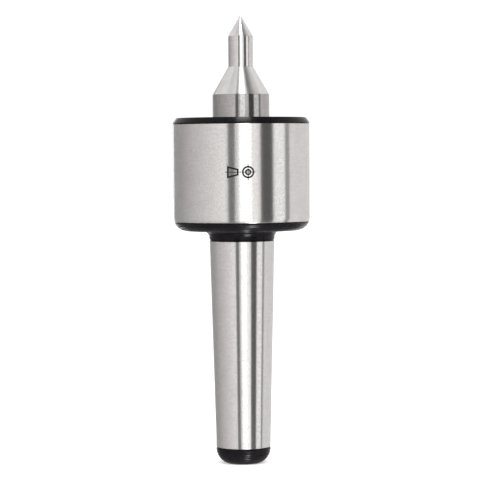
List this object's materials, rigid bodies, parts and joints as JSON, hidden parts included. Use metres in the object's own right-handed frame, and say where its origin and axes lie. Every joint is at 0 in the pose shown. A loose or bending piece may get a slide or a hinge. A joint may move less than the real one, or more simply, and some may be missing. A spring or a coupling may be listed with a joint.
{
  "type": "live center",
  "caption": "Live center for a lathe tailstock: a long-nose conical point turns on ball, thrust and needle bearings in a round head on a self-holding taper shank.",
  "frame": {"origin": "centre of the Morse taper's gauge plane, on the axis of rotation", "axes": "+Z along the axis of rotation from the shank towards the point; +Y towards the cover's lock screw, at the back of the head; +X through one of the cover's two spanner holes"},
  "size_m": [0.066, 0.066, 0.2159],
  "materials": {
    "ground_steel": "cylindrically ground alloy steel, bare; black oxide is left on the head's lower corner, the neck and the rounded rear end",
    "point_steel": "hardened and finely ground tool steel",
    "black_oxide": "turned steel, black oxide, lightly oiled",
    "bearing_steel": "hardened bearing steel, ground",
    "ball_steel": "lapped and polished bearing steel",
    "pressed_steel": "pressed low-carbon steel sheet",
    "shield_steel": "pressed steel sheet, bright zinc",
    "cage_brass": "machined brass",
    "spring_steel": "tempered spring steel, phosphated and oiled",
    "screw_steel": "black alloy steel screw",
    "brass": "soft brass",
    "wool_felt": "pressed wool felt, oiled"
  },
  "bodies": {
    "housing": {"body_shank": "ground_steel", "front_cover": "black_oxide", "felt_seal": "wool_felt", "preload_spring": "spring_steel", "lock_screw": "screw_steel", "lock_pad": "brass", "front_outer_ring": "bearing_steel", "front_shield_upper": "shield_steel", "front_shield_lower": "shield_steel", "thrust_housing_washer": "bearing_steel", "needle_cup": "pressed_steel"},
    "spindle": {"center_spindle": "point_steel", "retaining_ring": "spring_steel", "front_inner_ring": "bearing_steel", "thrust_shaft_washer": "bearing_steel"},
    "front_ball_set": {"front_balls": "ball_steel", "front_cage_upper": "pressed_steel", "front_cage_lower": "pressed_steel", "front_cage_rivets": "pressed_steel"},
    "thrust_ball_set": {"thrust_balls": "ball_steel", "thrust_cage": "cage_brass"},
    "needle_set": {"needle_rollers": "ball_steel", "needle_cage": "cage_brass"}
  },
  "joints": [
    {"name": "spindle_spin", "type": "hinge", "parent": "housing", "child": "spindle", "pos_m": [0, 0, 0.04], "axis": [0, 0, 1], "continuous": true},
    {"name": "front_ball_orbit", "type": "hinge", "parent": "housing", "child": "front_ball_set", "pos_m": [0, 0, 0.0465], "axis": [0, 0, 1], "continuous": true},
    {"name": "thrust_ball_orbit", "type": "hinge", "parent": "housing", "child": "thrust_ball_set", "pos_m": [0, 0, 0.027], "axis": [0, 0, 1], "continuous": true},
    {"name": "needle_orbit", "type": "hinge", "parent": "housing", "child": "needle_set", "pos_m": [0, 0, -0.012], "axis": [0, 0, 1], "continuous": true}
  ],
  "couplings": [
    {"joint": "front_ball_orbit", "follows": "spindle_spin", "ratio": 0.39691},
    {"joint": "thrust_ball_orbit", "follows": "spindle_spin", "ratio": 0.5},
    {"joint": "needle_orbit", "follows": "spindle_spin", "ratio": 0.44145}
  ]
}
